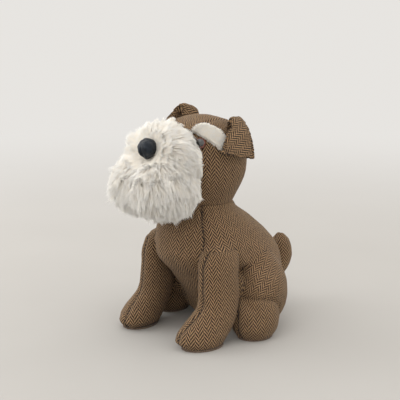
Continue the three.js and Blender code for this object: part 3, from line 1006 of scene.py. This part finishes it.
def tail():
    """A tube that turns up, with a seam above and below."""
    points, quads = remeshed(["tail"], SMALL_VOXEL, 0.3 * MM)
    points = smoothed(points, edges_of(quads), 10)
    points = box_middle("tail") + (points - box_middle("tail")) * TAIL_FULLNESS
    panel = (points[quads].mean(1)[:, 0] > 0).astype(int)

    def guide(points, quads, panel):
        """Columns follow the tail as it turns up."""
        upright = ramp(points[quads].mean(1)[:, 2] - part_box("tail")[0].z, *TAIL_TURN)
        return np.stack([0 * upright, 1 - upright, upright], 1)

    piece, _ = sewn_skin("tail_cloth", points, quads, panel, guide, depth=0.8 * MM)
    dressed(piece, TWEED, ["tail"])


# Eyes and nose

def eye(side):
    """A domed cap that sits where the CAD eye does, with its radius stored for the iris."""
    node = f"eye_{side}"
    co = np.array([vert.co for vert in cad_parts[node].data.vertices])
    far = co[np.linalg.norm(co - co.mean(0), axis=1).argmax()]
    shank = co[np.linalg.norm(co - far, axis=1) < 2 * MM].mean(0)
    apex = co[np.linalg.norm(co - shank, axis=1).argmax()]
    out = unit(apex - shank)
    across = unit(np.cross(UP, out))
    above = np.cross(out, across)
    seat = apex - out * EYE_BACK
    around, rings = 48, 16
    turns = np.arange(around) * 2 * math.pi / around
    spokes = [math.cos(turn) * across + math.sin(turn) * above for turn in turns]
    profile = [(0.82, -EYE_SEAT * 1.6), (1.0, -EYE_SEAT)]
    for rise in np.linspace(0, math.pi / 2, rings)[:-1]:
        profile.append((math.cos(rise), EYE_RISE * math.sin(rise)))
    points, ring_share = [], []
    for share, height in profile:
        points += [seat + EYE_RADIUS * share * spoke + out * height for spoke in spokes]
        ring_share += [share] * around
    points.append(seat + out * EYE_RISE)
    ring_share.append(0.0)
    last = (len(profile) - 1) * around
    faces = [tuple(reversed(range(around)))] + ring_quads(0, len(profile), around)
    faces += [(last + i, last + (i + 1) % around, len(points) - 1) for i in range(around)]
    piece = linked(node + "_cap", np.array(points), faces)
    stored(piece, "ring", ring_share)
    dressed(piece, EYE_GLOSS, [node])


def nose():
    """A padded velvet nose: broad on top, narrower below, with a pinched fold down its front."""
    low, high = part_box("nose")
    middle = box_middle("nose") + NOSE_SHIFT
    half = np.array((high - low) / 2) * NOSE_STRETCH
    rings, around = 39, 64
    fall = np.linspace(0, math.pi, rings + 2)[1:-1]
    turn = np.arange(around) * 2 * math.pi / around
    ball = [
        np.outer(np.sin(fall), np.sin(turn)),
        np.outer(np.sin(fall), -np.cos(turn)),
        np.outer(np.cos(fall), np.ones(around)),
    ]
    way = np.concatenate([np.stack(ball, -1).reshape(-1, 3), [[0, 0, 1], [0, 0, -1]]])
    shape = np.sign(way) * np.abs(way) ** NOSE_SQUARENESS
    shape[:, 0] *= 1.0 - NOSE_TAPER * ramp(-way[:, 2], 0.0, 0.9)
    points = middle + shape * half
    fold = bell(points[:, 0] - NOSE_FOLD_ASIDE, NOSE_FOLD_WIDTH) * ramp(-way[:, 1], 0.1, 0.6)
    points += way * (-NOSE_FOLD_DEPTH * fold * ramp(-way[:, 2], -0.75, 0.1))[:, None]
    for size, height in NOSE_RUMPLES:
        points = rumple(points, way, size, height)
    top, bottom = len(points) - 2, len(points) - 1
    faces = [(a, d, c, b) for a, b, c, d in ring_quads(0, rings, around)]
    last = (rings - 1) * around
    for i in range(around):
        faces.append((top, i, (i + 1) % around))
        faces.append((bottom, last + (i + 1) % around, last + i))
    dressed(linked("nose_velvet", points, faces), VELVET, ["nose"])


# Pile

def scattered(points, quads, count, weight):
    """Random places on a skin, with the normal at each; weight says how many each quad gets."""
    normal = normals_of(points, quads)
    face = RANDOM.choice(len(quads), count, p=weight / weight.sum())
    u, v = RANDOM.random((2, count, 1))
    corner = [quads[face, i] for i in range(4)]
    share = [(1 - u) * (1 - v), u * (1 - v), u * v, (1 - u) * v]
    place = sum(s * points[c] for s, c in zip(share, corner))
    return place, unit(sum(s * normal[c] for s, c in zip(share, corner)))


def noise_way(places, size):
    """A smooth random vector for each place."""
    return np.array([noise.noise_vector(Vector(place) / size) for place in places.tolist()])


def gathered(roots, tips, clumps, pull):
    """Tips drawn toward the tip of the nearest of some chosen strands."""
    chosen = RANDOM.choice(len(roots), clumps, replace=False)
    tree = kdtree.KDTree(clumps)
    for index, root in enumerate(roots[chosen].tolist()):
        tree.insert(root, index)
    tree.balance()
    nearest = chosen[[tree.find(root)[1] for root in roots.tolist()]]
    return (tips[nearest] - tips) * pull


def strands(name, roots, normal, start, end, length, radius, clumps, pull):
    """Tapered three sided hairs that leave their roots one way and end another.

    Their shading leans on the normal of the skin below, as light spreads through real pile."""
    stops = np.array((0.0, 0.36, 0.7))
    thick = np.array((1.0, 0.85, 0.55))

    def at(t):
        return roots + length[:, None] * (start * (t - t * t / 2) + end * (t * t / 2))

    shift = gathered(roots, at(1.0), clumps, pull)
    side = unit(np.cross(normal, start + end))
    out = unit(np.cross(start + end, side))
    count = len(roots)
    points = np.empty((count, 10, 3))
    facing = np.repeat(normal[:, None], 10, axis=1)
    for ring, (t, share) in enumerate(zip(stops, thick)):
        middle = at(t) + shift * t * t
        for corner, turn in enumerate((math.pi / 2, math.pi * 7 / 6, math.pi * 11 / 6)):
            reach = side * math.cos(turn) + out * math.sin(turn)
            points[:, ring * 3 + corner] = middle + reach * (radius * share)[:, None]
            facing[:, ring * 3 + corner] = unit(normal + PILE_RELIEF * reach)
    points[:, 9] = at(1.0) + shift
    share = np.concatenate([np.repeat(stops, 3), [1.0]])
    first = (np.arange(count) * 10)[:, None]
    sides = [[r + i, r + (i + 1) % 3, r + 3 + (i + 1) % 3, r + 3 + i] for r in (0, 3) for i in range(3)]
    tips = [[6 + i, 6 + (i + 1) % 3, 9] for i in range(3)] + [[2, 1, 0]]
    quads = (first[:, None] + np.array(sides)[None]).reshape(-1, 4)
    triangles = (first[:, None] + np.array(tips)[None]).reshape(-1, 3)
    piece = linked(name, points.reshape(-1, 3), quads.tolist() + triangles.tolist())
    piece.data.normals_split_custom_set_from_vertices(facing.reshape(-1, 3).tolist())
    stored(piece, "strand", np.tile(share, count))
    return piece


def beside_eyes(places):
    """1 ahead of and outside the eyes, where the pile dips to clear them, falling to 0 away."""
    return 1 - ramp(np.linalg.norm(to_left(places) - EYE_CLEARING, axis=1), *EYE_DIP)


def outside_of(places, tree):
    """How far each place lies outside a form, and the way out of the form there."""
    found = [tree.find_nearest(place) for place in places.tolist()]
    outward = np.array([hit[1] for hit in found])
    return dot(places - np.array([hit[0] for hit in found]), outward), outward


def backing(name, node, points, quads, tone):
    """The cloth that a pile is rooted in, in the pile's colour near its roots, with their painted shade.
    """
    piece = linked(name, points, quads)
    stored(piece, "strand", np.full(len(points), tone))
    dressed(piece, PILE, [node])


def weights(points, quads, tree, gap):
    """Area of the quads that lie farther than a gap from a tree, and 0 for the others."""
    off = gaps_to(tree, points[quads].mean(1)) > gap
    return np.linalg.norm(face_ways(points, quads), axis=1) * off


def muzzle_skin(head_tree):
    """The muzzle's backing, sunk into its outer form by the room that the pile takes."""
    points, quads = remeshed(["muzzle"], MUZZLE_VOXEL, 0.0)
    edges = edges_of(quads)
    points = smoothed(points, edges, 30)
    from_nose = np.linalg.norm(points - box_middle("nose"), axis=1)
    points = smoothed(points, edges, 150, 1 - ramp(from_nose, *NOSE_HOLLOW))
    normal = normals_of(points, quads)
    upward = normal[:, 2]
    depth = PILE_DEPTH * ramp(gaps_to(head_tree, points), 1 * MM, 5 * MM)
    sunk = np.maximum(depth, UNDER_SINK * ramp(-upward, 0.2, 0.7))
    sunk += CROWN_SINK * ramp(upward, 0.2, 0.8) + EYE_ROOM * beside_eyes(points)
    return smoothed(points - normal * sunk[:, None], edges, 8), quads


def planted(points, quads, head_tree):
    """Roots on the muzzle's skin, the normal at each and the piece that each belongs to."""
    weight = weights(points, quads, head_tree, ROOT_GAP)
    middle = points[quads].mean(1)
    upper = middle[:, 2] > box_middle("muzzle")[2]
    left = middle[:, 0] > 0
    regions = {
        "pile_cheek_left": (CHEEK_STRANDS, ~upper & left),
        "pile_cheek_right": (CHEEK_STRANDS, ~upper & ~left),
        "pile_bridge_left": (BRIDGE_STRANDS, upper & left),
        "pile_bridge_right": (BRIDGE_STRANDS, upper & ~left),
    }
    found = [scattered(points, quads, count, weight * own) for count, own in regions.values()]
    roots, normal = (np.concatenate(arrays) for arrays in zip(*found))
    return roots, normal, np.repeat(list(regions), [count for count, _ in regions.values()])


def muzzle():
    """Long pile that springs from round the nose, sweeps back over the cheeks and hangs."""
    head_tree = tree_of(["head", "torso"])
    points, quads = muzzle_skin(head_tree)
    backing("muzzle_backing", "muzzle", points, quads, 0.4)
    roots, normal, region = planted(points, quads, head_tree)
    count = len(roots)
    away = roots - box_middle("nose") - PARTING
    reach = np.linalg.norm(away, axis=1)
    hang = HANG * ramp(-away[:, 2], *HANG_SLOPE)[:, None]
    comb = unit(away) + hang * -UP + COMB_WAVE * noise_way(roots, WAVE_SIZE)
    comb = unit(comb - dot(comb, normal)[:, None] * normal)
    jitter = RANDOM.normal(0, STRAND_JITTER, (2, count, 3))
    tufts = 0.5 + 0.4 * noise_way(roots + 1, TUFT_SIZE)[:, :1]
    lift = (ramp(gaps_to(head_tree, roots), *LIFT_FROM_HEAD) * ramp(reach, *LIFT_FROM_NOSE))[:, None]
    wild = ramp(noise_way(roots + 2, WILD_SIZE)[:, :1], 0.05, 0.45) * lift
    start = unit(comb + ((0.3 + 0.9 * tufts) * lift + 0.4 * wild) * normal + jitter[0])
    end = unit(comb + (0.6 * tufts * lift + 0.6 * wild - 0.1) * normal + jitter[1])
    length = SHORT_PILE + (LONG_PILE - SHORT_PILE) * ramp(reach, *LONG_SLOPE)
    length = length * RANDOM.uniform(0.7, 1.2, count)
    room = PILE_EDGE - roots[:, 1] + RANDOM.uniform(-2, 2, count) * MM
    held = roots[:, 2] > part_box("head")[0].z + HELD_OVER_NECK
    backward = 0.5 * (start + end)[:, 1]
    reach_back = np.where(backward > 0.1, room / np.maximum(backward, 0.1), 1.0)
    kept = np.clip(length, PILE_SHORTEST, np.maximum(reach_back, PILE_SHORTEST))
    length = np.where(held, kept, length)
    level = 1 - 0.8 * ramp(np.abs(normal[:, 2]), 0.2, 0.8)
    free = TIP_FREE * ramp(-roots[:, 1], *FREE_AHEAD) * level * RANDOM.uniform(0.2, 1.5, count)
    free += TIP_LIFT - EYE_ROOM * beside_eyes(roots) - CROWN_SINK * np.abs(normal[:, 2])
    free += WILD_REACH * wild[:, 0] * (1 - beside_eyes(roots))
    outer_tree = tree_of(["muzzle"])
    for _ in range(2):
        tips = roots + length[:, None] * (start + end) / 2
        beyond, outward = outside_of(tips, outer_tree)
        over = np.maximum(beyond - free, 0)
        end = end - (2 * over / length)[:, None] * outward
    radius = STRAND_RADIUS * RANDOM.uniform(0.7, 1.15, count)
    for name in dict.fromkeys(region.tolist()):
        own = region == name
        values = [array[own] for array in (roots, normal, start, end, length, radius)]
        piece = strands(name, *values, CLUMPS * own.sum() // count, CLUMP_PULL)
        dressed(piece, PILE)


def brow(side):
    """A sewn patch of short pile."""
    node = f"brow_{side}"
    points, quads = remeshed([node], SMALL_VOXEL, 0.0)
    points = smoothed(points, edges_of(quads), 10)
    head_tree = tree_of(["head"])
    outward = outside_of(box_middle(node)[None], head_tree)[1]
    points -= normals_of(points, quads) * BROW_THINNED + outward * BROW_SUNK
    backing(node + "_backing", node, points, quads, 0.3)
    weight = weights(points, quads, head_tree, 1 * MM)
    roots, normal = scattered(points, quads, BROW_STRANDS, weight)
    comb = np.array((SIDES[side] * 0.5, 0.3, -0.35)) + 0.4 * noise_way(roots, 6 * MM)
    jitter = RANDOM.normal(0, 0.2, (2, BROW_STRANDS, 3))
    start = unit(normal + 0.5 * comb + jitter[0])
    end = unit(0.5 * normal + comb + jitter[1])
    length = RANDOM.uniform(2.5, 4.5, BROW_STRANDS) * MM
    radius = BROW_STRAND_RADIUS * RANDOM.uniform(0.7, 1.1, BROW_STRANDS)
    values = (roots, normal, start, end, length, radius)
    piece = strands(node + "_pile", *values, BROW_CLUMPS, BROW_PULL)
    dressed(piece, PILE)


body()
head()
tail()
nose()
muzzle()
for side in SIDES:
    ear(side)
    eye(side)
    brow(side)
soles = [f"{part}_sole_{side}" for part in ("front", "hind") for side in SIDES]
for node in ("base_panel", *soles, "weight_pouch"):
    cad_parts[node].data.materials.clear()
    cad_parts[node].data.materials.append(CANVAS)


# Stage, light and camera

def aimed(name, data, place):
    """A lamp or camera at a place, turned to the dog."""
    holder = bpy.data.objects.new(name, data)
    holder.location = place
    holder.rotation_euler = (CAMERA_TARGET - place).to_track_quat("-Z", "Y").to_euler()
    SCENE.collection.objects.link(holder)
    return holder


def lamp(name, place, size, power):
    data = bpy.data.lights.new(name, "AREA")
    data.shape = "DISK"
    data.size = size
    data.energy = power
    data.color = LAMP_COLOUR
    aimed(name, data, place)


def round_the_dog(azimuth, elevation, distance):
    """A place at an azimuth and elevation in degrees, seen from the middle of the dog."""
    a, e = math.radians(azimuth), math.radians(elevation)
    way = Vector((math.sin(a) * math.cos(e), -math.cos(a) * math.cos(e), math.sin(e)))
    return CAMERA_TARGET + way * distance


def mixed_shader(tree, share, first, second, output):
    """One shader turning into another, as what a floor or a world shows."""
    mix = tree.nodes.new("ShaderNodeMixShader")
    for socket, value in zip(mix.inputs, (share, first, second)):
        tree.links.new(value, socket)
    tree.links.new(mix.outputs[0], tree.nodes[output].inputs["Surface"])


def camera_rays(tree):
    return tree.nodes.new("ShaderNodeLightPath").outputs["Is Camera Ray"]


def floor():
    """A pale floor that fades into the backdrop."""
    corners = np.array([(-1, -1, 0), (1, -1, 0), (1, 1, 0), (-1, 1, 0)], float) * FLOOR_HALF
    piece = linked("floor", corners, [(0, 1, 2, 3)])
    material, tree, shader = new_material("floor", 0.9)
    tone = blended(tree, noisy(tree, 6, 2), *FLOOR_TONES)
    tree.links.new(tone, shader.inputs["Base Color"])
    glow = tree.nodes.new("ShaderNodeEmission")
    glow.inputs["Color"].default_value = BACKDROP
    place = tree.nodes.new("ShaderNodeTexCoord").outputs["Object"]
    far = tree.nodes.new("ShaderNodeVectorMath")
    far.operation = "LENGTH"
    tree.links.new(place, far.inputs[0])
    share = span(tree, far.outputs["Value"], *FLOOR_FADE)
    seen = calc(tree, "MULTIPLY", share, camera_rays(tree))
    mixed_shader(tree, seen, shader.outputs[0], glow.outputs[0], "Material Output")
    piece.data.materials.append(material)


def light():
    """Even daylight, a soft key from the left and a soft light from above."""
    world = bpy.data.worlds.new("studio")
    world.use_nodes = True
    tree = world.node_tree
    plain = tree.nodes["Background"]
    plain.inputs["Color"].default_value = DAYLIGHT
    plain.inputs["Strength"].default_value = DAYLIGHT_STRENGTH
    behind = tree.nodes.new("ShaderNodeBackground")
    behind.inputs["Color"].default_value = BACKDROP
    mixed_shader(tree, camera_rays(tree), plain.outputs[0], behind.outputs[0], "World Output")
    SCENE.world = world
    lamp("key", round_the_dog(-55, 28, 1.3), 0.9, KEY_POWER)
    lamp("fill", round_the_dog(20, 70, 1.6), 1.2, TOP_POWER)


def camera():
    data = bpy.data.cameras.new("camera")
    data.lens = CAMERA_LENS
    data.sensor_width = 36
    place = round_the_dog(CAMERA_AZIMUTH, CAMERA_ELEVATION, CAMERA_DISTANCE)
    SCENE.camera = aimed("camera", data, place)


floor()
light()
camera()
SCENE.view_settings.view_transform = "Standard"
